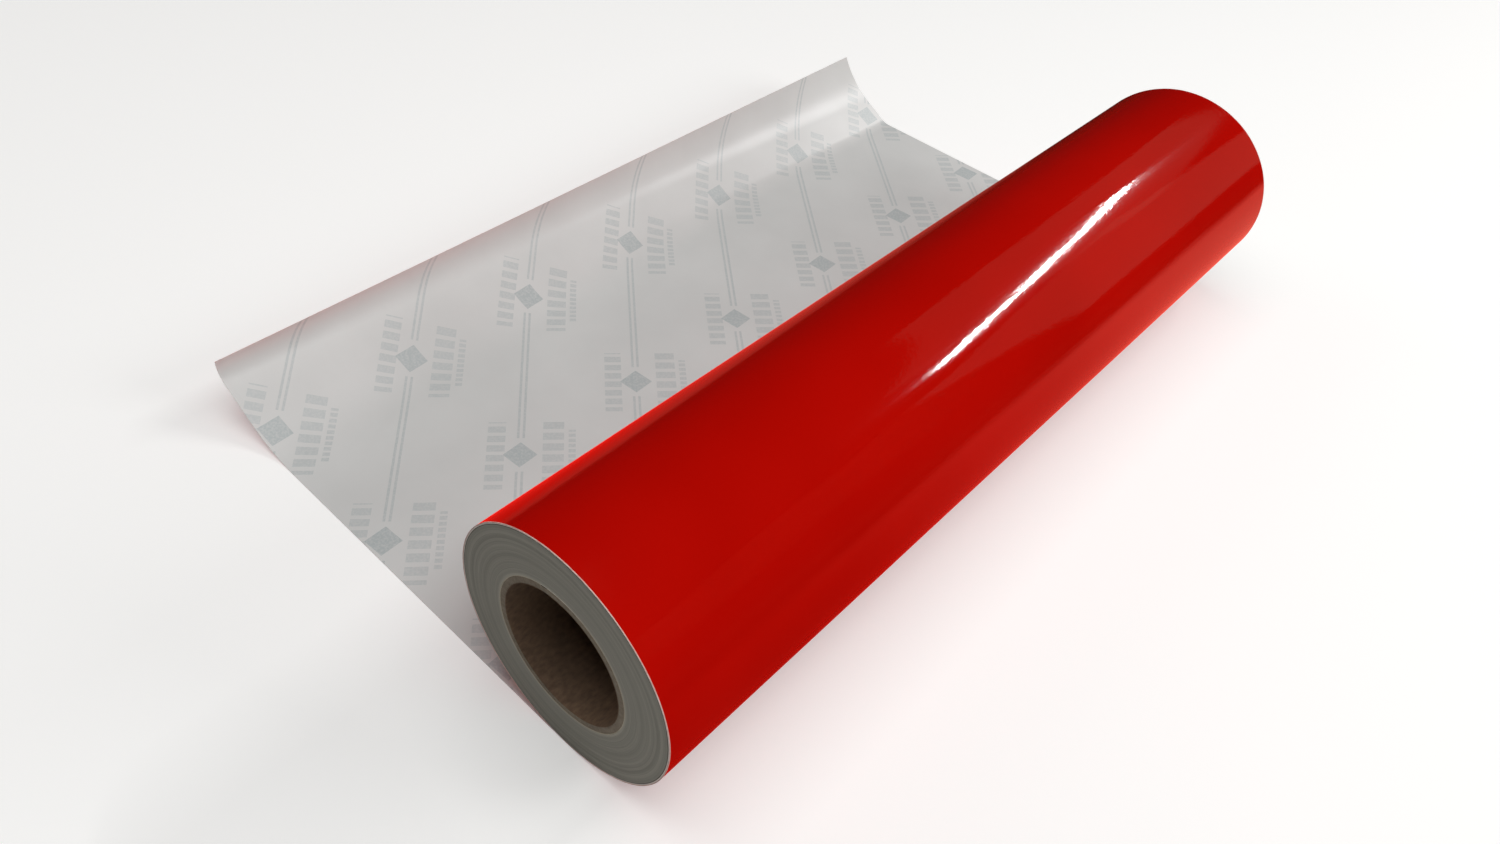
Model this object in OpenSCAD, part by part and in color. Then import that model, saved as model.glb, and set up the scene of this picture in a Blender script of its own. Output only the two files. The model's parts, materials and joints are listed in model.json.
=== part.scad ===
// Roll of self-adhesive sign vinyl on a 3 inch paper core.
// The web is a red film, a coat of adhesive and a release liner, wound face out.
// Its free end lies on the floor, liner up, and curls back up at the edge.
// The roll's axis is Y, the origin is the centre of the core's bore, and the
// free end runs towards -X, tangent to the bottom of the roll.

/* [Roll] */
// Width of the web, and length of the roll (24 inch stock)
web_w = 610; // [300:5:1250]
// Outside diameter of the roll
roll_d = 140; // [110:1:260]

/* [Core] */
// Bore of the paper core (3 inch)
core_bore_d = 76.2; // [60:0.1:80]
// Wall of the paper core
core_wall = 4.3; // [3:0.1:8]
// Thickness of the core's smooth inner and outer plies
core_ply_t = 0.4; // [0.2:0.1:1]
// Width of the double-sided tape that starts the web on the core
tape_w = 25; // [12:1:50]
// Thickness of that tape
tape_t = 0.2; // [0.1:0.05:0.4]

/* [Web] */
// Thickness of the red film
film_t = 0.08; // [0.05:0.01:0.15]
// Thickness of the adhesive coat
adhesive_t = 0.03; // [0.02:0.01:0.06]
// Thickness of the release liner
liner_t = 0.15; // [0.1:0.01:0.25]

/* [Free end] */
// Length that lies flat, from the bottom of the roll to the first bend
flat_len = 248; // [120:1:600]
// Radius of the first bend, on the film side
bend_r = 35; // [20:1:120]
// Angle that the first bend turns through
bend_a = 22; // [10:1:40]
// Length of the straight ramp after the first bend
ramp_len = 30; // [10:1:80]
// Radius of the curled lip, on the film side
lip_r = 32; // [20:1:80]
// Angle that the curled lip turns through
lip_a = 66; // [30:1:90]

/* [Clearances] */
// Gap between the last turn and the turns under it
turn_gap = 0.3; // [0.2:0.05:0.6]
// Slit between two pieces of the web that fold against each other
fold_gap = 0.2; // [0.15:0.05:0.4]

/* [Hidden] */
$fn = 180;

roll_r = roll_d / 2;
floor_z = -roll_r;
bore_r = core_bore_d / 2;
core_r = bore_r + core_wall;

// Each layer of the web, as its lowest and highest face above the film's face
film = [0, film_t];
adhesive = [film_t, film_t + adhesive_t];
liner = [film_t + adhesive_t, film_t + adhesive_t + liner_t];
web_t = liner[1];
pack_r = roll_r - web_t - turn_gap;

// The last turn stops short of the free end, where the two would meet
outer_turn_a = 360 - acos(1 - (web_t + turn_gap) / roll_r);

// Length of an arc, from its radius and angle
function arc_len(r, a) = r * a * PI / 180;

// Distances along the web's film face, from the bottom of the roll, where the
// first bend, the ramp and the lip begin, and where the cut edge is
bend_s = flat_len;
ramp_s = bend_s + arc_len(bend_r, bend_a);
lip_s = ramp_s + ramp_len;
end_s = lip_s + arc_len(lip_r, lip_a);

// The first bend folds at its middle, and the lip in the middle of three
// equal stretches
folds = [
    (bend_s + ramp_s) / 2,
    for (third = [0.5, 1.5, 2.5]) lip_s + third / 3 * (end_s - lip_s)
];

// The points x, z where the first bend, the ramp and the lip begin
bend_at = [-bend_s, floor_z];
ramp_at = bend_at + bend_r * [-sin(bend_a), 1 - cos(bend_a)];
lip_at = ramp_at + ramp_len * [-cos(bend_a), sin(bend_a)];

// Share of the way from one distance to another, held between 0 and 1
function share(s, from, to) = min(max((s - from) / (to - from), 0), 1);

// Angle that the web has turned up through at a distance along it
function turned(s) = bend_a * share(s, bend_s, ramp_s) + lip_a * share(s, lip_s, end_s);

// Point x, z of the film face at a distance along the web
function spot(s) =
    s <= bend_s ? [-s, floor_z]
    : s <= ramp_s ? bend_at + bend_r * [-sin(turned(s)), 1 - cos(turned(s))]
    : s <= lip_s ? ramp_at + (s - ramp_s) * [-cos(bend_a), sin(bend_a)]
    : lip_at + lip_r * [sin(bend_a) - sin(turned(s)), cos(bend_a) - cos(turned(s))];

// The same point raised by h through the web, towards the liner
function through(s, h) = spot(s) + h * [sin(turned(s)), cos(turned(s))];

// Distances where the outline needs a point: the ends of the straights and
// every 2 degrees of the bends
arc_step = 2;
stations = [
    for (i = [0:bend_a / arc_step]) bend_s + i * arc_len(bend_r, arc_step),
    for (i = [0:lip_a / arc_step]) lip_s + i * arc_len(lip_r, arc_step)
];

film_red = [0.69, 0.04, 0.03];
adhesive_clear = [0.80, 0.42, 0.38];
liner_grey = [0.82, 0.83, 0.84];
kraft = [0.56, 0.45, 0.33];
kraft_dark = [0.42, 0.33, 0.24];
tape_white = [0.88, 0.87, 0.82];
pack_grey = [0.45, 0.44, 0.42];

// A tube on the roll's axis, as long as the web is wide
module tube(inner_r, outer_r) {
    rotate([90, 0, 0]) difference() {
        cylinder(r = outer_r, h = web_w, center = true);
        cylinder(r = inner_r, h = web_w + 2, center = true);
    }
}

// Part of a tube between two angles, counted from +X towards +Z
module tube_arc(inner_r, outer_r, from, to) {
    rotate([90, 0, 0]) translate([0, 0, -web_w / 2]) rotate([0, 0, from])
        rotate_extrude(angle = to - from)
            translate([inner_r, 0]) square([outer_r - inner_r, web_w]);
}

// The last turn round the roll, from the bottom almost to the bottom again
module outer_turn(layer) {
    tube_arc(roll_r - layer[1], roll_r - layer[0], -90, outer_turn_a - 90);
}

// One layer of the free end, from one distance along it to another
module web(layer, from, to) {
    marks = concat([from], [for (s = stations) if (s > from + fold_gap && s < to - fold_gap) s], [to]);
    last = len(marks) - 1;
    film_side = [for (i = [0:last]) through(marks[i], layer[0])];
    liner_side = [for (i = [last:-1:0]) through(marks[i], layer[1])];
    rotate([90, 0, 0]) linear_extrude(web_w, center = true) polygon(concat(film_side, liner_side));
}

// One layer of the free end between two folds, less half the slit at each
module between_folds(layer, fold) {
    web(layer, folds[fold] + fold_gap / 2, folds[fold + 1] - fold_gap / 2);
}

// The stretch on the floor and the first half of the first bend
module tail_flat(layer) web(layer, fold_gap, folds[0] - fold_gap / 2);

// The rest of the first bend, the ramp and the start of the lip
module tail_ramp(layer) between_folds(layer, 0);

// The lip's two stretches between its folds
module lip_lower(layer) between_folds(layer, 1);
module lip_upper(layer) between_folds(layer, 2);

// The last stretch of the lip, up to the cut edge
module lip_edge(layer) web(layer, folds[3] + fold_gap / 2, end_s);

// Smooth ply that lines the bore
module core_inner_ply() color(kraft_dark) tube(bore_r, bore_r + core_ply_t);

// Wound grey board that gives the core its strength
module core_board() color(kraft) tube(bore_r + core_ply_t, core_r - core_ply_t);

// Smooth ply that the web is wound on
module core_outer_ply() color(kraft) tube(core_r - core_ply_t, core_r);

// Double-sided tape between the core and the start of the web
module tape_strip() {
    half_a = tape_w / core_r * 90 / PI;
    tube_arc(core_r, core_r + tape_t, 90 - half_a, 90 + half_a);
}
module core_tape() color(tape_white) tape_strip();

// All the turns under the last one, wound tight
module wound_pack() color(pack_grey) difference() {
    tube(core_r, pack_r);
    tape_strip();
}

module outer_turn_film() color(film_red) outer_turn(film);
module outer_turn_adhesive() color(adhesive_clear) outer_turn(adhesive);
module outer_turn_liner() color(liner_grey) outer_turn(liner);
module tail_flat_film() color(film_red) tail_flat(film);
module tail_flat_adhesive() color(adhesive_clear) tail_flat(adhesive);
module tail_flat_liner() color(liner_grey) tail_flat(liner);
module tail_ramp_film() color(film_red) tail_ramp(film);
module tail_ramp_adhesive() color(adhesive_clear) tail_ramp(adhesive);
module tail_ramp_liner() color(liner_grey) tail_ramp(liner);
module lip_lower_film() color(film_red) lip_lower(film);
module lip_lower_adhesive() color(adhesive_clear) lip_lower(adhesive);
module lip_lower_liner() color(liner_grey) lip_lower(liner);
module lip_upper_film() color(film_red) lip_upper(film);
module lip_upper_adhesive() color(adhesive_clear) lip_upper(adhesive);
module lip_upper_liner() color(liner_grey) lip_upper(liner);
module lip_edge_film() color(film_red) lip_edge(film);
module lip_edge_adhesive() color(adhesive_clear) lip_edge(adhesive);
module lip_edge_liner() color(liner_grey) lip_edge(liner);

core_inner_ply();
core_board();
core_outer_ply();
core_tape();
wound_pack();
outer_turn_film();
outer_turn_adhesive();
outer_turn_liner();
tail_flat_film();
tail_flat_adhesive();
tail_flat_liner();
tail_ramp_film();
tail_ramp_adhesive();
tail_ramp_liner();
lip_lower_film();
lip_lower_adhesive();
lip_lower_liner();
lip_upper_film();
lip_upper_adhesive();
lip_upper_liner();
lip_edge_film();
lip_edge_adhesive();
lip_edge_liner();
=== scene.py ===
"""Roll of glossy red sign vinyl on a paper core, its free end laid out with the liner up."""
import json
import math
import bpy
import numpy as np
from mathutils import Matrix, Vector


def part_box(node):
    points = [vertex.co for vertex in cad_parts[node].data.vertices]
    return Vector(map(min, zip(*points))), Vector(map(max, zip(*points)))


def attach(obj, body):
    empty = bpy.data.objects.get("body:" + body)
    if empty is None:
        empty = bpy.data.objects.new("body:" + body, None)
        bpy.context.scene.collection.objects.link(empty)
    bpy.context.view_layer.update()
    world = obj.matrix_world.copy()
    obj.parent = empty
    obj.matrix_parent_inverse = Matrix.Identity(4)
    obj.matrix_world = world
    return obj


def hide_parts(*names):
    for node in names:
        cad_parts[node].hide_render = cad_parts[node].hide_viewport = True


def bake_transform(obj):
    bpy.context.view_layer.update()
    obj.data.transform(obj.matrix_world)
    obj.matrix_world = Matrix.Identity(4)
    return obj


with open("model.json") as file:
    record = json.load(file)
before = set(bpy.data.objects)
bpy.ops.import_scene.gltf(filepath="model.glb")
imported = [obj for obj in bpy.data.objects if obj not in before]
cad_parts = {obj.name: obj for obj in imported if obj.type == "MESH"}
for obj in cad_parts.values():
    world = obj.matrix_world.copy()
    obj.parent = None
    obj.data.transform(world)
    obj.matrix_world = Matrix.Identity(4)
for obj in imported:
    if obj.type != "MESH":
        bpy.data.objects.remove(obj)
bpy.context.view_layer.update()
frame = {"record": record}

# ---------------------------------------------------------------- camera
# A wide view from above the near end, a little rolled, looking along the roll.
EYE = (0.2324, -0.5030, 0.4543)
RIGHT = (0.7294, 0.6791, 0.0828)
UP = (-0.4928, 0.4376, 0.7521)
BACK = (0.4745, -0.5894, 0.6538)
lens = bpy.data.cameras.new("camera")
lens.lens = 27.86
lens.sensor_width = 36
lens.shift_x = 0.0195
lens.shift_y = -0.0517
lens.clip_start = 0.02
camera = bpy.data.objects.new("camera", lens)
camera.matrix_world = Matrix(
    [(RIGHT[i], UP[i], BACK[i], EYE[i]) for i in range(3)] + [(0, 0, 0, 1)])
bpy.context.scene.collection.objects.link(camera)
bpy.context.scene.camera = camera

# ---------------------------------------------------------------- paper core
# A spiral-wound paper tube: a smooth kraft ply in the bore, grey-brown board
# plies that carry the load, and a smooth ply outside that the web is wound on.
# All three are wound as strips on a slant, so their seams run round as helices.
STRIP_LEAD = 0.110         # how far a strip's edge moves along the tube in one turn
SEAM_STEP = 0.00015        # how far the strip's overlap stands up
OVERLAP_START = 0.94       # share of a turn where the overlap begins
RIM = 0.0003               # rounding of the tube's cut rims
AROUND = 288               # points round the roll


def solid(name, points, quads):
    """An object whose mesh has these points and four-cornered faces, smooth shaded."""
    mesh = bpy.data.meshes.new(name)
    mesh.vertices.add(len(points))
    mesh.vertices.foreach_set("co", points.astype(np.float32).ravel())
    mesh.loops.add(quads.size)
    mesh.loops.foreach_set("vertex_index", quads.astype(np.int32).ravel())
    mesh.polygons.add(len(quads))
    mesh.polygons.foreach_set("loop_start", np.arange(0, quads.size, 4, dtype=np.int32))
    mesh.polygons.foreach_set("use_smooth", np.ones(len(quads), bool))
    mesh.update(calc_edges=True)
    mesh.set_sharp_from_angle(angle=math.radians(35))
    piece = bpy.data.objects.new(name, mesh)
    bpy.context.scene.collection.objects.link(piece)
    return piece


def turned(name, radius, along):
    """A closed profile carried round the roll's axis. Row i is a point of the profile and
    column j an angle a_j: (r_ij cos a_j, y_ij, r_ij sin a_j). The last row joins the first."""
    rows, columns = radius.shape
    angle = np.linspace(0, 2 * np.pi, columns, endpoint=False)
    points = np.stack([radius * np.cos(angle), along, radius * np.sin(angle)], -1)
    i, j = np.arange(rows)[:, None], np.arange(columns)[None, :]
    i2, j2 = (i + 1) % rows, (j + 1) % columns
    quads = np.stack([i * columns + j, i * columns + j2, i2 * columns + j2, i2 * columns + j], -1)
    return solid(name, points.reshape(-1, 3), quads.reshape(-1, 4))


def linear(code):
    """sRGB hex to linear red, green and blue, with alpha 1."""
    c = np.array([int(code[k:k + 2], 16) / 255 for k in (1, 3, 5)])
    c = np.where(c <= 0.04045, c / 12.92, ((c + 0.055) / 1.055) ** 2.4)
    return (*c.tolist(), 1.0)


def add(tree, kind, inputs=None, stops=None, **settings):
    """Adds a shader node and gives its first output, or a mix of colours' own one. Its inputs
    are values or links, in order or by name; stops are a ramp's places and colours."""
    made = tree.nodes.new(kind)
    for key, value in settings.items():
        setattr(made, key, value)
    if isinstance(inputs, tuple):
        inputs = dict(enumerate(inputs))
    for key, value in (inputs or {}).items():
        if isinstance(value, bpy.types.NodeSocket):
            tree.links.new(value, made.inputs[key])
        else:
            made.inputs[key].default_value = value
    for k, (place, code) in enumerate(stops or ()):
        element = made.color_ramp.elements[k] if k < 2 else made.color_ramp.elements.new(place)
        element.position, element.color = place, linear(code)
    return made.outputs[2] if kind == "ShaderNodeMix" else made.outputs[0]


def material(name, **constants):
    """A new material, its node tree and its Principled shader with these constants set."""
    made = bpy.data.materials.new(name)
    made.use_nodes = True
    shader = made.node_tree.nodes["Principled BSDF"]
    for key, value in constants.items():
        shader.inputs[key.replace("_", " ")].default_value = value
    return made, made.node_tree, shader


def fit(piece, body, nodes, finishes):
    """Gives a piece its finishes, hides the CAD nodes it stands for, and attaches it to its body if it
    has one.
    """
    for finish in finishes:
        piece.data.materials.append(finish)
    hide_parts(*nodes)
    if body:
        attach(piece, body)
    return piece


half_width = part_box("wound_pack")[1].y
bore_r = frame["record"]["mounts"][0]["dims"]["r_mm"] / 1000
inner_ply_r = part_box("core_inner_ply")[1].x
board_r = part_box("core_board")[1].x
core_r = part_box("core_outer_ply")[1].x


def paper_tube(name, inner, outer, step, rows):
    """A tube whose bore stands in by `step` from OVERLAP_START to the end of each turn of the
    strip, where y / STRIP_LEAD - a / (2 pi) is a whole number. Its rims are quarter rounds."""
    corner = RIM * (1 - np.cos(np.linspace(0, np.pi / 2, 5)))
    drop = RIM * (1 - np.sin(np.linspace(0, np.pi / 2, 5)))
    walls = []
    for count in (rows, 24):
        middle = np.linspace(-half_width + RIM, half_width - RIM, count)[1:-1]
        y = np.concatenate([corner - half_width, middle, (half_width - corner)[::-1]])
        walls.append((y[:, None], np.concatenate([drop, 0 * middle, drop[::-1]])[:, None]))
    (y_in, drop_in), (y_out, drop_out) = walls
    angle = np.linspace(0, 2 * np.pi, AROUND, endpoint=False)
    turn = (y_in / STRIP_LEAD - angle / (2 * np.pi)) % 1
    overlap = np.clip((turn - OVERLAP_START) / 0.02, 0, 1) * np.clip((1 - turn) / 0.02, 0, 1)
    wall_in = inner + drop_in - step * overlap
    wall_out = np.repeat(outer - drop_out, AROUND, 1)
    along = np.repeat(np.concatenate([y_in, y_out[::-1]]), AROUND, 1)
    return turned(name, np.concatenate([wall_in, wall_out[::-1]]), along)


# Kraft paper: brown pulp with fibres about 3 mm long and clouds 30 mm wide, quite
# matt, darker where the edge of one turn of the strip shows beside the next.
BOARD_PITCH = 0.00045      # thickness of one board ply, seen as rings at the cut end


def kraft_paper(name, dark, light, cut_board):
    made, tree, shader = material(name, Roughness=0.8, IOR=1.45)
    at = add(tree, "ShaderNodeTexCoord").node.outputs["Object"]
    stretched = add(tree, "ShaderNodeMapping", {0: at, 3: (520, 300, 520)})
    fibres = add(tree, "ShaderNodeTexNoise", {"Vector": stretched, "Scale": 1.0, "Detail": 4.0})
    clouds = add(tree, "ShaderNodeTexNoise", {"Vector": at, "Scale": 30.0, "Detail": 3.0})
    tone = add(tree, "ShaderNodeMath", (fibres, 0.6), operation="MULTIPLY")
    tone = add(tree, "ShaderNodeMath", (clouds, 0.4, tone), operation="MULTIPLY_ADD")
    x, y, z = add(tree, "ShaderNodeSeparateXYZ", (at,)).node.outputs
    if cut_board:
        flat = add(tree, "ShaderNodeCombineXYZ", {0: x, 2: z})
        from_axis = add(tree, "ShaderNodeVectorMath", (flat,), operation="LENGTH").node.outputs["Value"]
        ring = add(tree, "ShaderNodeMath", (from_axis, 2 * math.pi / BOARD_PITCH), operation="MULTIPLY")
        ring = add(tree, "ShaderNodeMath", (ring,), operation="SINE")
        mark = add(tree, "ShaderNodeMapRange", (ring, -0.2, 1.0, 0.0, 0.5))
    else:
        around = add(tree, "ShaderNodeMath", (z, x), operation="ARCTAN2")
        lead = add(tree, "ShaderNodeMath", (around, -1 / (2 * math.pi)), operation="MULTIPLY")
        lead = add(tree, "ShaderNodeMath", (y, 1 / STRIP_LEAD, lead), operation="MULTIPLY_ADD")
        strip = add(tree, "ShaderNodeMath", (lead,), operation="FRACT")
        mark = add(tree, "ShaderNodeMath", (strip, OVERLAP_START, 0.008), operation="COMPARE")
    colour = add(tree, "ShaderNodeValToRGB", (tone,), [(0.3, dark), (0.7, light)])
    colour = add(tree, "ShaderNodeMix", {0: mark, 6: colour, 7: linear("#35281d")}, data_type="RGBA")
    tree.links.new(colour, shader.inputs["Base Color"])
    bump = add(tree, "ShaderNodeBump", {"Strength": 0.4, "Distance": 0.0002, "Height": tone})
    tree.links.new(bump, shader.inputs["Normal"])
    return made


bore_paper = kraft_paper("kraft paper bore ply", "#655040", "#8a7058", False)
outside_paper = kraft_paper("kraft paper outer ply", "#c0b69f", "#d6ccb8", False)
cut_paper = kraft_paper("grey board cut edge", "#857868", "#ab9d8a", True)
for name, inner, outer, step, rows, slot, node, finish in (
        ("bore_ply", bore_r, inner_ply_r, SEAM_STEP, 240, "kraft_ply", "core_inner_ply", bore_paper),
        ("board_plies", inner_ply_r, board_r, 0, 24, "core_board", "core_board", cut_paper),
        ("outer_ply", board_r, core_r, 0, 24, "kraft_ply", "core_outer_ply", outside_paper)):
    fit(paper_tube(name, inner, outer, step, rows), "spool", [node], [finish])

# ---------------------------------------------------------------- starter tape
# Double-sided tape along the core, white paper carrier with adhesive on both
# faces; it holds the start of the web and is buried under the first turn.
def arc_slab(name, angle, inner, outer, y):
    """A closed slab between two surfaces. Row i is a distance y_i along the roll and column j
    an angle a_j: (r cos a_j, y_i, r sin a_j), with r = inner_ij on one side, outer_ij on the other."""
    shape = (len(y), len(angle))
    radii = [np.broadcast_to(inner, shape), np.broadcast_to(outer, shape)]
    along = np.repeat(y[:, None], len(angle), 1)
    sides = [np.stack([r * np.cos(angle), along, r * np.sin(angle)], -1) for r in radii]
    return slab(name, sides[0], sides[1])


def slab(name, under, over):
    """A closed sheet between two grids of points: both grids as faces, and a strip of faces
    along each of the four edges. Turning from rows to columns faces over."""
    rows, columns = under.shape[:2]
    index = np.arange(rows * columns).reshape(rows, columns)
    top = index + rows * columns
    corner = [np.s_[:-1, :-1], np.s_[:-1, 1:], np.s_[1:, 1:], np.s_[1:, :-1]]
    quads = [np.stack([top[c] for c in corner], -1), np.stack([index[c] for c in corner[::-1]], -1)]
    for edge in (np.s_[::-1, 0], np.s_[0, :], np.s_[:, -1], np.s_[-1, ::-1]):
        low, high = index[edge], top[edge]
        quads.append(np.stack([low[:-1], low[1:], high[1:], high[:-1]], -1))
    faces = np.concatenate([q.reshape(-1, 4) for q in quads])
    return solid(name, np.concatenate([under.reshape(-1, 3), over.reshape(-1, 3)]), faces)


tape_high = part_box("core_tape")[1]
tape_half = math.asin(tape_high.x / core_r)
tape_angle = np.linspace(np.pi / 2 + tape_half, np.pi / 2 - tape_half, 13)
tape_y = np.linspace(-half_width, half_width, 41)
tape = arc_slab("starter_tape", tape_angle, core_r, tape_high.z, tape_y)
tape_finish, tree, shader = material("paper tape", Roughness=0.6, IOR=1.48)
at = add(tree, "ShaderNodeTexCoord").node.outputs["Object"]
crepe = add(tree, "ShaderNodeTexNoise", {"Vector": at, "Scale": 400.0, "Detail": 3.0})
tree.links.new(add(tree, "ShaderNodeValToRGB", (crepe,), [(0.3, "#d9d4c6"), (0.7, "#efebe0")]),
               shader.inputs["Base Color"])
tree.links.new(add(tree, "ShaderNodeBump", {"Strength": 0.3, "Distance": 0.0001, "Height": crepe}),
               shader.inputs["Normal"])
fit(tape, "spool", ["core_tape"], [tape_finish])

# ---------------------------------------------------------------- red film
# Calendered PVC film, 0.08 mm thick, pigmented red right through and glossy.
# Winding tension leaves lines along it, 4 mm apart and 100 mm long, and it has a
# fine grain, drawn 2 mm wide so that it shows; both break up its reflections.
def red_film(name):
    made, tree, shader = material(name, Roughness=0.06, IOR=1.53)
    at = add(tree, "ShaderNodeTexCoord").node.outputs["Object"]
    cloudy = add(tree, "ShaderNodeTexNoise", {"Vector": at, "Scale": 9.0, "Detail": 2.0})
    colour = add(tree, "ShaderNodeValToRGB", (cloudy,), [(0.3, "#b60700"), (0.7, "#c00a02")])
    tree.links.new(colour, shader.inputs["Base Color"])
    lined = add(tree, "ShaderNodeMapping", {0: at, 3: (230, 10, 230)})
    lines = add(tree, "ShaderNodeTexNoise", {"Vector": lined, "Scale": 1.0, "Detail": 3.0})
    grained = add(tree, "ShaderNodeMapping", {0: at, 3: (520, 240, 520)})
    grain = add(tree, "ShaderNodeTexNoise", {"Vector": grained, "Scale": 1.0, "Detail": 2.0})
    height = add(tree, "ShaderNodeMath", (grain, 0.55, lines), operation="MULTIPLY_ADD")
    bump = add(tree, "ShaderNodeBump", {"Strength": 0.10, "Distance": 0.0006, "Height": height})
    tree.links.new(bump, shader.inputs["Normal"])
    return made


film_finish = red_film("calendered PVC film")

# ---------------------------------------------------------------- wound pack
# Some 104 turns of film, adhesive and liner, wound tight and slit to width
# together. Each turn lies a little in or out of line, so the ends show rings.
pack_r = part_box("wound_pack")[1].x + 0.00018   # closes most of the slack under the last turn
RING_PITCH = 0.00025       # radial spacing of the points over an end, one turn of web
RING_DEPTH = 0.00022       # most that a turn lies back from the end's plane
SLACK_R = 0.06882          # radius of a slack turn; the shade under it is painted as a dark line
RIM_R = 0.0690             # the cut edges are painted paler from this radius out, a highlight where the outermost turns catch light

draw = np.random.default_rng(11)
ring_r = np.arange(core_r, pack_r, RING_PITCH)
ring_r[-1] = pack_r


def ring_recess(angle):
    """How far each turn lies back: groups of turns share a random depth, single turns add a
    little, and each group leans to one side as d (1 + 0.3 cos(a - a_group))."""
    group = np.cumsum(draw.random(len(ring_r)) < 0.16)
    depth = draw.random(group.max() + 1)[group] * 0.75 + draw.random(len(ring_r)) * 0.25
    side = draw.random(group.max() + 1)[group] * 2 * np.pi
    return RING_DEPTH * depth[:, None] * (1 + 0.3 * np.cos(angle - side[:, None])) / 1.3


pack_angle = np.linspace(0, 2 * np.pi, AROUND, endpoint=False)
walls = np.linspace(-half_width, half_width, 42)[1:-1]
inner_rows = np.full((len(walls), AROUND), core_r)
outer_rows = np.full((len(walls), AROUND), pack_r)
ends = np.repeat(ring_r[:, None], AROUND, 1)
radius = np.concatenate([ends[::-1], inner_rows, ends, outer_rows])
along = np.concatenate([
    (ring_recess(pack_angle) - half_width)[::-1],
    np.repeat(walls[:, None], AROUND, 1),
    half_width - ring_recess(pack_angle),
    np.repeat(walls[::-1, None], AROUND, 1),
])
pack = turned("wound_turns", radius, along)
first_outer = (2 * len(ring_r) + len(walls) - 1) * AROUND
outer_wall = np.zeros(len(pack.data.polygons), np.int32)
outer_wall[first_outer:] = 1

# Slit edges: the white cut of each liner beside the red cut of each film blurs
# to a warm grey, with fine rings where a turn catches more or less light, a dark
# line of painted shade under a slack turn and a painted highlight on the outermost turns.
edge_finish, tree, shader = material("slit edges of wound film", Roughness=0.55, IOR=1.46)
at = add(tree, "ShaderNodeTexCoord").node.outputs["Object"]
x, y, z = add(tree, "ShaderNodeSeparateXYZ", (at,)).node.outputs
flat = add(tree, "ShaderNodeCombineXYZ", {0: x, 2: z})
from_axis = add(tree, "ShaderNodeVectorMath", (flat,), operation="LENGTH").node.outputs["Value"]
drift = add(tree, "ShaderNodeTexNoise", {"Vector": at, "Scale": 40.0, "Detail": 1.0})
bent = add(tree, "ShaderNodeMath", (drift, 0.0004, from_axis), operation="MULTIPLY_ADD")
# bands of turns 2.4 mm wide, and single turns drawn 0.4 mm wide so that they show
bands = add(tree, "ShaderNodeMath", (bent, 420.0), operation="MULTIPLY")
bands = add(tree, "ShaderNodeTexNoise", {"W": bands, "Scale": 1.0, "Detail": 4.0}, noise_dimensions="1D")
turns = add(tree, "ShaderNodeMath", (bent, 2600.0), operation="MULTIPLY")
turns = add(tree, "ShaderNodeTexNoise", {"W": turns, "Scale": 1.0, "Detail": 2.0}, noise_dimensions="1D")
rings = add(tree, "ShaderNodeMath", (turns, 0.45), operation="MULTIPLY")
rings = add(tree, "ShaderNodeMath", (bands, 0.55, rings), operation="MULTIPLY_ADD")
colour = add(tree, "ShaderNodeValToRGB", (rings,), [(0.30, "#918e84"), (0.70, "#b4b0a4")])
by_core = add(tree, "ShaderNodeMapRange", (from_axis, core_r, core_r + 0.002, 0.6, 0.0))
# painted shade: a dark line where the space under a slack turn lies in shade
painted_slack_shade = add(tree, "ShaderNodeMath", (from_axis, SLACK_R, 0.00018), operation="COMPARE")
# painted highlight: the outermost turns' cut edges, paler where they catch light
outermost_highlight = add(tree, "ShaderNodeMath", (from_axis, RIM_R), operation="GREATER_THAN")
for share, code in ((by_core, "#cdc8b8"), (painted_slack_shade, "#4b4741"), (outermost_highlight, "#f0e2da")):
    colour = add(tree, "ShaderNodeMix", {0: share, 6: colour, 7: linear(code)}, data_type="RGBA")
tree.links.new(colour, shader.inputs["Base Color"])
tree.links.new(add(tree, "ShaderNodeBump", {"Strength": 0.35, "Distance": 0.0002, "Height": rings}),
               shader.inputs["Normal"])
pack.data.polygons.foreach_set("material_index", outer_wall)
fit(pack, "spool", ["wound_pack"], [edge_finish, film_finish])

# ---------------------------------------------------------------- last turn
# The outermost turn, red face out: film, adhesive and liner, 0.26 mm together.
# It lies loosely on the turns below, rippled by their tension, and its outer
# face runs on into the free end at the bottom of the roll.
RIPPLE = 0.00009           # most that the turn stands in or out of round
EDGE_HIGHLIGHT_WIDTH = 0.0004           # width of the pale strip painted along the web's edges as a highlight where they catch light
LAYERS = {"film": (0.0, 0.00008), "adhesive": (0.00008, 0.00011), "liner": (0.00011, 0.00026)}
roll_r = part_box("outer_turn_film")[1].x
floor_z = -roll_r
TURN_DEGREES = 352.75      # the turn ends a little short of where it leaves the roll
around_turn = np.linspace(-np.pi / 2 + math.radians(TURN_DEGREES), -np.pi / 2, 361)
across_turn = np.linspace(-half_width, half_width, 93)
across_turn = np.insert(across_turn, [1, 92], [EDGE_HIGHLIGHT_WIDTH - half_width, half_width - EDGE_HIGHLIGHT_WIDTH])


def ripples(angle, y):
    """Sum of eight waves cos(k a + q y + phase), with the shorter ones lower, fading to
    nothing at both ends of the turn."""
    total = 0 * (angle + y)
    for k, q, phase in zip(draw.uniform(2, 22, 8), draw.uniform(-60, 60, 8), draw.uniform(0, 6.28, 8)):
        total = total + np.cos(k * angle + q * y + phase) / (1 + 0.1 * k)
    start = np.clip((angle + np.pi / 2) / 0.5, 0, 1)
    finish = np.clip((around_turn[0] - angle) / 0.2, 0, 1)
    return RIPPLE / 3 * total * start * finish


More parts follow.
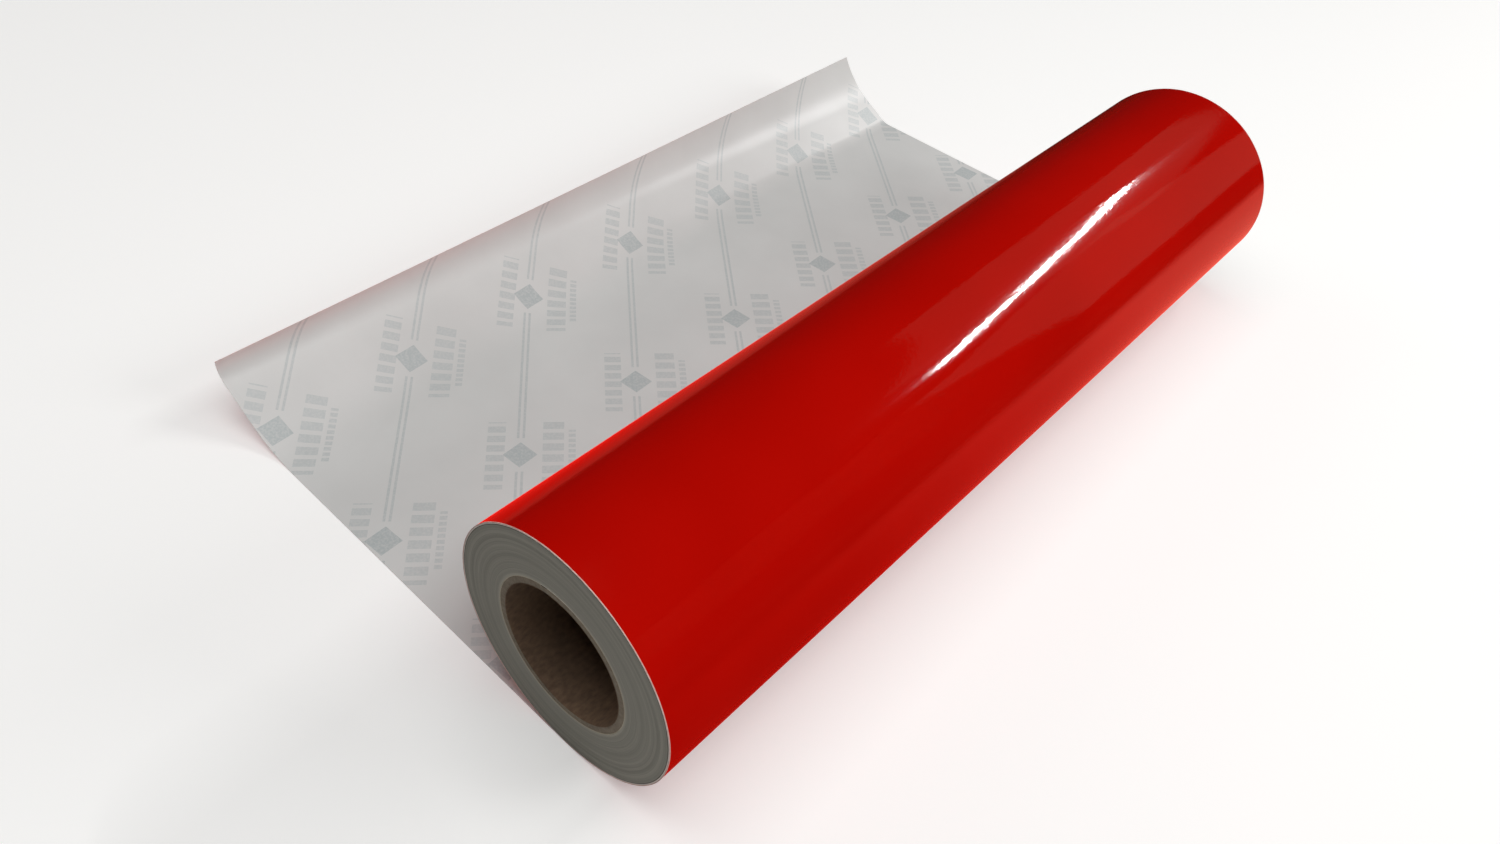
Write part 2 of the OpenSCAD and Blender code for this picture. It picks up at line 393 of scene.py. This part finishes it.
# Clear acrylic adhesive: colourless and a little dull, so it only shows as a
# pinkish line between the film and the liner.
adhesive_finish, tree, shader = material("clear acrylic adhesive", Roughness=0.4, IOR=1.47)
at = add(tree, "ShaderNodeTexCoord").node.outputs["Object"]
haze = add(tree, "ShaderNodeTexNoise", {"Vector": at, "Scale": 300.0, "Detail": 1.0})
tree.links.new(add(tree, "ShaderNodeValToRGB", (haze,), [(0.3, "#c98f85"), (0.7, "#d6a69b")]),
               shader.inputs["Base Color"])

# Release liner: glazed kraft paper coated white, satin, with a faint grey-blue
# back print: slanting double rules through plain lozenges, with rows of blank
# blocks beside them, every 110 by 98 mm.
PRINT_LENGTH = 0.10975     # repeat along the web, a quarter of the length of one turn
PRINT_WIDTH = 0.098        # repeat across the web
LOZENGE_AT = (0.160, -0.198)   # one lozenge's place along and across the web
LOZENGE = 10.5             # half of a lozenge's diagonal, in mm
RULE = (1.7, 0.8)          # each rule's distance from the middle and half width, in mm
RULE_END = 14.0            # where the rules stop short of a lozenge, in mm
BLOCK_ROWS = (             # each row's distance from the middle, half height, half length, pitch
    (-15.0, 5.5, 28.0, 8.1), (20.0, 6.5, 31.0, 9.3), (31.5, 2.2, 21.0, 4.4))


def liner_paper(name, curled):
    made, tree, shader = material(name, Roughness=0.34, IOR=1.5)
    at = add(tree, "ShaderNodeTexCoord").node.outputs["Object"]
    if curled:
        place = add(tree, "ShaderNodeAttribute", attribute_name="along_web").node.outputs["Vector"]
    else:
        place = add(tree, "ShaderNodeMapping", {0: at, 3: (-1, 1, 1)})
    s, y, z = add(tree, "ShaderNodeSeparateXYZ", (place,)).node.outputs

    # a runs along a rule and b across it, in millimetres from the nearest lozenge
    diagonal = math.hypot(PRINT_LENGTH, PRINT_WIDTH)
    start_p, start_q = -LOZENGE_AT[0] / PRINT_LENGTH, -LOZENGE_AT[1] / PRINT_WIDTH
    p = add(tree, "ShaderNodeMath", (s, 1 / PRINT_LENGTH, start_p), operation="MULTIPLY_ADD")
    q = add(tree, "ShaderNodeMath", (y, 1 / PRINT_WIDTH, start_q), operation="MULTIPLY_ADD")
    c = add(tree, "ShaderNodeMath", (q, p), operation="SUBTRACT")
    c = add(tree, "ShaderNodeMath", (c, 0.5, -0.5), operation="WRAP")
    t = add(tree, "ShaderNodeMath", (c, (PRINT_WIDTH / diagonal) ** 2, p), operation="MULTIPLY_ADD")
    t = add(tree, "ShaderNodeMath", (t, 0.5, -0.5), operation="WRAP")
    a = add(tree, "ShaderNodeMath", (t, 1000 * diagonal), operation="MULTIPLY")
    spread = 1000 * PRINT_LENGTH * PRINT_WIDTH / diagonal
    b = add(tree, "ShaderNodeMath", (c, spread), operation="MULTIPLY")
    size_a = add(tree, "ShaderNodeMath", (a,), operation="ABSOLUTE")
    size_b = add(tree, "ShaderNodeMath", (b,), operation="ABSOLUTE")
    rule = add(tree, "ShaderNodeMath", (size_b, *RULE), operation="COMPARE")
    clear = add(tree, "ShaderNodeMath", (size_a, RULE_END), operation="GREATER_THAN")
    rule = add(tree, "ShaderNodeMath", (rule, clear), operation="MULTIPLY")
    lozenge = add(tree, "ShaderNodeMath", (size_a, size_b), operation="ADD")
    lozenge = add(tree, "ShaderNodeMath", (lozenge, LOZENGE), operation="LESS_THAN")
    printed = add(tree, "ShaderNodeMath", (rule, 0.7, lozenge), operation="MULTIPLY_ADD")
    for middle, half_height, half_length, pitch in BLOCK_ROWS:
        row = add(tree, "ShaderNodeMath", (b, middle, half_height), operation="COMPARE")
        in_row = add(tree, "ShaderNodeMath", (size_a, half_length), operation="LESS_THAN")
        row = add(tree, "ShaderNodeMath", (row, in_row), operation="MULTIPLY")
        row = add(tree, "ShaderNodeMath", (row, 0.6), operation="MULTIPLY")
        block = add(tree, "ShaderNodeMath", (a, 1 / pitch), operation="MULTIPLY")
        block = add(tree, "ShaderNodeMath", (block,), operation="FRACT")
        block = add(tree, "ShaderNodeMath", (block, 0.34), operation="GREATER_THAN")
        printed = add(tree, "ShaderNodeMath", (row, block, printed), operation="MULTIPLY_ADD")
    speck = add(tree, "ShaderNodeTexNoise", {"Vector": at, "Scale": 700.0, "Detail": 2.0})
    speck = add(tree, "ShaderNodeMapRange", (speck, 0.3, 0.6, 0.5, 0.95))
    ink = add(tree, "ShaderNodeMath", (printed, speck), operation="MULTIPLY")
    cloud = add(tree, "ShaderNodeTexNoise", {"Vector": at, "Scale": 14.0, "Detail": 4.0})
    paper = add(tree, "ShaderNodeValToRGB", (cloud,), [(0.3, "#dbdbd9"), (0.7, "#e3e3e1")])
    colour = add(tree, "ShaderNodeMix", {0: ink, 6: paper, 7: linear("#bec5c5")}, data_type="RGBA")
    tree.links.new(colour, shader.inputs["Base Color"])
    fibre = add(tree, "ShaderNodeTexNoise", {"Vector": at, "Scale": 500.0, "Detail": 3.0})
    tree.links.new(add(tree, "ShaderNodeBump", {"Strength": 0.12, "Distance": 0.0001, "Height": fibre}),
                   shader.inputs["Normal"])
    return made


# The cut edges of the web, and a strip beside them, are pale pink: partly the
# cut film, adhesive and liner seen together, partly a painted highlight where the edge catches light.
slit_edge_and_highlight, tree, shader = material("slit edge of the web with painted highlight", Roughness=0.5, IOR=1.47)
at = add(tree, "ShaderNodeTexCoord").node.outputs["Object"]
edge_mottle = add(tree, "ShaderNodeTexNoise", {"Vector": at, "Scale": 500.0, "Detail": 2.0})
tree.links.new(add(tree, "ShaderNodeValToRGB", (edge_mottle,), [(0.3, "#d9a99d"), (0.7, "#ecd0c6")]),
               shader.inputs["Base Color"])
finishes = {"film": film_finish, "adhesive": adhesive_finish}
flat_liner = liner_paper("coated kraft liner, flat", False)
curled_liner = liner_paper("coated kraft liner, curled", True)


def along_web(piece, s, y):
    """Stores each point's distance along and across the web, for the print to follow."""
    place = np.stack(np.broadcast_arrays(s, y, 0.0), -1).reshape(-1, 3)
    place = np.concatenate([place, place]).astype(np.float32)
    stored = piece.data.attributes.new("along_web", "FLOAT_VECTOR", "POINT")
    stored.data.foreach_set("vector", place.ravel())


rippled = ripples(around_turn[None, :], across_turn[:, None])
for layer, (near_face, far_face) in LAYERS.items():
    turn = arc_slab("last_turn_" + layer, around_turn, roll_r - far_face + rippled,
                    roll_r - near_face + rippled, across_turn)
    if layer == "liner":
        along_web(turn, -roll_r * (around_turn[None, :] + np.pi / 2), across_turn[:, None])
    centre = np.empty(3 * len(turn.data.polygons), np.float32)
    turn.data.polygons.foreach_get("center", centre)
    # painted highlight: the cut end faces and the strip beside them take the pale edge colour
    at_edge = abs(centre[1::3]) > half_width - EDGE_HIGHLIGHT_WIDTH
    turn.data.polygons.foreach_set("material_index", at_edge.astype(np.int32))
    finish = finishes.get(layer, curled_liner)
    fit(turn, "last_turn", ["outer_turn_" + layer], [finish, slit_edge_and_highlight])

# ---------------------------------------------------------------- free end
# A length of the same web drawn off onto the floor, liner up. It lies flat, then
# lifts where it was creased on the roll, and its cut edge curls up: tightly at
# the near side of the web, in a wide even curve at the far side.
STEP = 0.0004              # spacing of the points worked out along the web
web_length = 0.3264        # from the bottom of the roll to the cut edge
folds = [0.25472, 0.297582, 0.309869, 0.322156]   # where the joints bend it
seams = [0.0, 0.200, 0.2427, 0.2850, 0.303726, 0.316013, web_length]   # ends of its pieces
across_web = np.linspace(-half_width, half_width, 93)
along_fine = np.arange(0, web_length + STEP / 2, STEP)


def between(near, far, y):
    """A value that goes evenly from the near side of the web to the far side."""
    return near + (far - near) * (y + half_width) / (2 * half_width)


def web_path(s, y):
    """Heading above the floor: it rises by `lift` over one length and by `curl` over another,
    each an even bend. x falls with the sum of its cosine, z rises with the sum of its sine."""
    lift_start, lift_length = between(0.2378, 0.2520, y), between(0.0472, 0.0080, y)
    curl_start, curl_length = between(0.3096, 0.2832, y), between(0.0169, 0.0422, y)
    lift = np.radians(between(31.9, 29.5, y)) * np.clip((s - lift_start) / lift_length, 0, 1)
    curl = np.radians(between(72.2, 31.5, y)) * np.clip((s - curl_start) / curl_length, 0, 1.03)
    heading = lift + curl
    x = -STEP * (np.cumsum(np.cos(heading), 0) - np.cos(heading))
    z = STEP * (np.cumsum(np.sin(heading), 0) - np.sin(heading)) + floor_z
    return x, z, heading


path_x, path_z, path_heading = web_path(along_fine[:, None], across_web[None, :])


def web_slab(name, s, near_face, far_face):
    """A layer of the web between two distances along it. Its faces lie near_face and far_face
    above the path, square to it: (x + h sin(heading), y, z + h cos(heading))."""
    picked = np.unique(np.clip(np.round(s / STEP).astype(int), 0, len(along_fine) - 1))
    x, z, heading = path_x[picked], path_z[picked], path_heading[picked]
    y = np.broadcast_to(across_web, x.shape)
    faces = [np.stack([x + h * np.sin(heading), y, z + h * np.cos(heading)], -1)
             for h in (near_face, far_face)]
    piece = slab(name, faces[0].transpose(1, 0, 2)[::-1], faces[1].transpose(1, 0, 2)[::-1])
    if near_face > 0:
        along_web(piece, along_fine[picked][None, :], across_web[::-1, None])
    return piece


# Each piece's name, the bodies it joins, the CAD nodes it stands for, the spacing
# of its points, and the slope of the web in degrees where it bends.
pieces = (
    ("paid_out", ("last_turn", "tail_flat"), "", 0.004, 0),
    ("flat", ("tail_flat",), "tail_flat", 0.004, 0),
    ("lifted", ("tail_flat", "tail_ramp"), "tail_ramp", 0.0008, 11),
    ("lip_low", ("tail_ramp", "lip_lower"), "lip_lower", 0.0008, 33),
    ("lip_high", ("lip_lower", "lip_upper"), "lip_upper", 0.0004, 55),
    ("cut_edge", ("lip_upper", "lip_edge"), "lip_edge", 0.0004, 77),
)
for k, (name, bodies, node, spacing, slope) in enumerate(pieces):
    stations = np.append(np.arange(seams[k], seams[k + 1] - spacing / 2, spacing), seams[k + 1])
    for layer, (near_face, far_face) in LAYERS.items():
        piece = web_slab("{}_{}".format(name, layer), stations, near_face, far_face)
        finish = finishes.get(layer, flat_liner if k < 2 else curled_liner)
        fit(piece, None, [node + "_" + layer] if node else [], [finish])
        if name == "paid_out":
            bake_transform(piece)
        elif name == "flat":
            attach(piece, "tail_flat")
        else:
            at_fold = int(round(folds[k - 2] / STEP))
            middle = len(across_web) // 2
            x, z = path_x[at_fold, middle], path_z[at_fold, middle]
            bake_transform(piece)
        piece.visible_glossy = False   # no piece's gloss shows it, as if polarised

# ---------------------------------------------------------------- floor
# A plain white matt floor that the roll and its free end lie on. To the camera it
# also gives a little light of its own. In the gloss of every piece it is black, except
# beside the roll, where it paints a reflection on the film, red near by and pink further off.
FLOOR_REACH = 2.0
corners = FLOOR_REACH * np.array([(-1, -1, 0), (1, -1, 0), (1, 1, 0), (-1, 1, 0)])
floor = solid("floor", corners + (0, 0, floor_z - 0.00005), np.array([[0, 1, 2, 3]]))
floor_finish, tree, shader = material("pale matt floor", Roughness=0.9, Specular_IOR_Level=0.0)
at = add(tree, "ShaderNodeTexCoord").node.outputs["Object"]
x, y, z = add(tree, "ShaderNodeSeparateXYZ", (at,)).node.outputs
# painted reflection: how strongly the floor shows in the pieces' gloss, by place beside the roll
right_side = add(tree, "ShaderNodeValToRGB", (x,), [
    (0.0, "#000000"), (0.02, "#ffffff"), (0.26, "#ffffff"), (0.42, "#404040")])
rising = add(tree, "ShaderNodeMapRange", (y, -0.20, 0.30, 0.5, 1.15))
right_side = add(tree, "ShaderNodeMath", (right_side, rising), operation="MULTIPLY")
left_side = add(tree, "ShaderNodeMath", (x, 0.0), operation="LESS_THAN")
falling = add(tree, "ShaderNodeMapRange", (y, -0.15, 0.45, 1.3, 0.05))
both_sides = add(tree, "ShaderNodeMath", (left_side, falling, right_side), operation="MULTIPLY_ADD")
beside_roll = add(tree, "ShaderNodeMath", (y, -half_width), operation="GREATER_THAN")
painted_reflection_strength = add(tree, "ShaderNodeMath", (both_sides, beside_roll), operation="MULTIPLY")
light_path = add(tree, "ShaderNodeLightPath").node.outputs
in_gloss, in_view = light_path["Is Glossy Ray"], light_path["Is Camera Ray"]
pale = {0: in_gloss, 6: linear("#efeeec"), 7: linear("#000000")}
tree.links.new(add(tree, "ShaderNodeMix", pale, data_type="RGBA"), shader.inputs["Base Color"])
further = add(tree, "ShaderNodeMapRange", (y, -0.10, 0.45, 0.0, 1.0))
# painted reflection: red at the near end, pink further off, seen only in gloss
backdrop_and_painted_reflection_tint = add(tree, "ShaderNodeValToRGB", (further,), [(0.0, "#ff241c"), (1.0, "#ff7463")])
backdrop_and_painted_reflection_tint = {0: in_view, 6: backdrop_and_painted_reflection_tint, 7: linear("#ffffff")}
tree.links.new(add(tree, "ShaderNodeMix", backdrop_and_painted_reflection_tint, data_type="RGBA"), shader.inputs["Emission Color"])
painted_reflection_strength = add(tree, "ShaderNodeMath", (in_gloss, painted_reflection_strength), operation="MULTIPLY")
strength = add(tree, "ShaderNodeMath", (in_view, 0.28, painted_reflection_strength), operation="MULTIPLY_ADD")
tree.links.new(strength, shader.inputs["Emission Strength"])
floor.data.materials.append(floor_finish)

# ---------------------------------------------------------------- light
# A large soft light above, soft panels at the right and the left, a long narrow
# light behind that draws the bright streak on the film, and two wide dim panels
# behind it that veil the film's far half. The background is bright to the camera
# and gives almost no light.
bpy.context.scene.view_settings.view_transform = "Standard"
world = bpy.data.worlds.new("studio")
bpy.context.scene.world = world
world.use_nodes = True
background = world.node_tree.nodes["Background"]
background.inputs["Color"].default_value = (1, 1, 1, 1)
in_view = add(world.node_tree, "ShaderNodeLightPath").node.outputs["Is Camera Ray"]
bright = add(world.node_tree, "ShaderNodeMapRange", {0: in_view, 3: 0.008, 4: 0.85})
world.node_tree.links.new(bright, background.inputs["Strength"])


def area_light(name, centre, aim, along, width, height, radiance, tint=(1, 1, 1), in_gloss=True):
    """A soft light with its width laid as near as it can be along a direction, facing a point.
    Its power is radiance times pi times its area."""
    lamp = bpy.data.lights.new(name, "AREA")
    lamp.shape, lamp.size, lamp.size_y = "RECTANGLE", width, height
    lamp.energy = radiance * math.pi * width * height
    lamp.color = tint
    back = np.array(centre, float) - aim
    back /= np.linalg.norm(back)
    side = np.array(along, float) - np.dot(along, back) * back
    side /= np.linalg.norm(side)
    rise = np.cross(back, side)
    made = bpy.data.objects.new(name, lamp)
    made.matrix_world = Matrix(
        [(side[i], rise[i], back[i], centre[i]) for i in range(3)] + [(0, 0, 0, 1)])
    made.visible_glossy = in_gloss
    bpy.context.scene.collection.objects.link(made)


area_light("overhead softbox", (0.25, -0.35, 2.2), (0.25, -0.35, 0), (1, 0, 0), 2.6, 1.9, 2.05)
area_light("far right panel", (1.70, 1.10, 1.00), (-0.1, 0.2, 0), (0, 1, 0), 1.1, 0.8, 5.6,
           in_gloss=False)
area_light("low right panel", (1.9, -0.25, 0.30), (0, 0, 0), (0, 1, 0), 0.9, 0.5, 1.0,
           in_gloss=False)
area_light("left panel", (-2.0, -0.75, 1.3), (0, 0, 0), (-0.35, 0.93, 0), 1.2, 1.2, 1.3,
           in_gloss=False)
area_light("streak light", (0.833, 2.703, 2.095), (0.03, 0.045, 0.063),
           (-1.213, 0.734, -0.106), 1.38, 0.065, 110.0)
PALE_YELLOW = (1.0, 0.95, 0.70)
area_light("high veil panel", (0.35, 3.95, 3.04), (0, 0, 0), (1, 0, 0), 2.7, 1.7, 0.13, PALE_YELLOW)
area_light("low veil panel", (2.30, 4.15, 1.59), (0, 0, 0), (-0.87, 0.48, 0), 1.8, 2.4, 0.15,
           PALE_YELLOW)
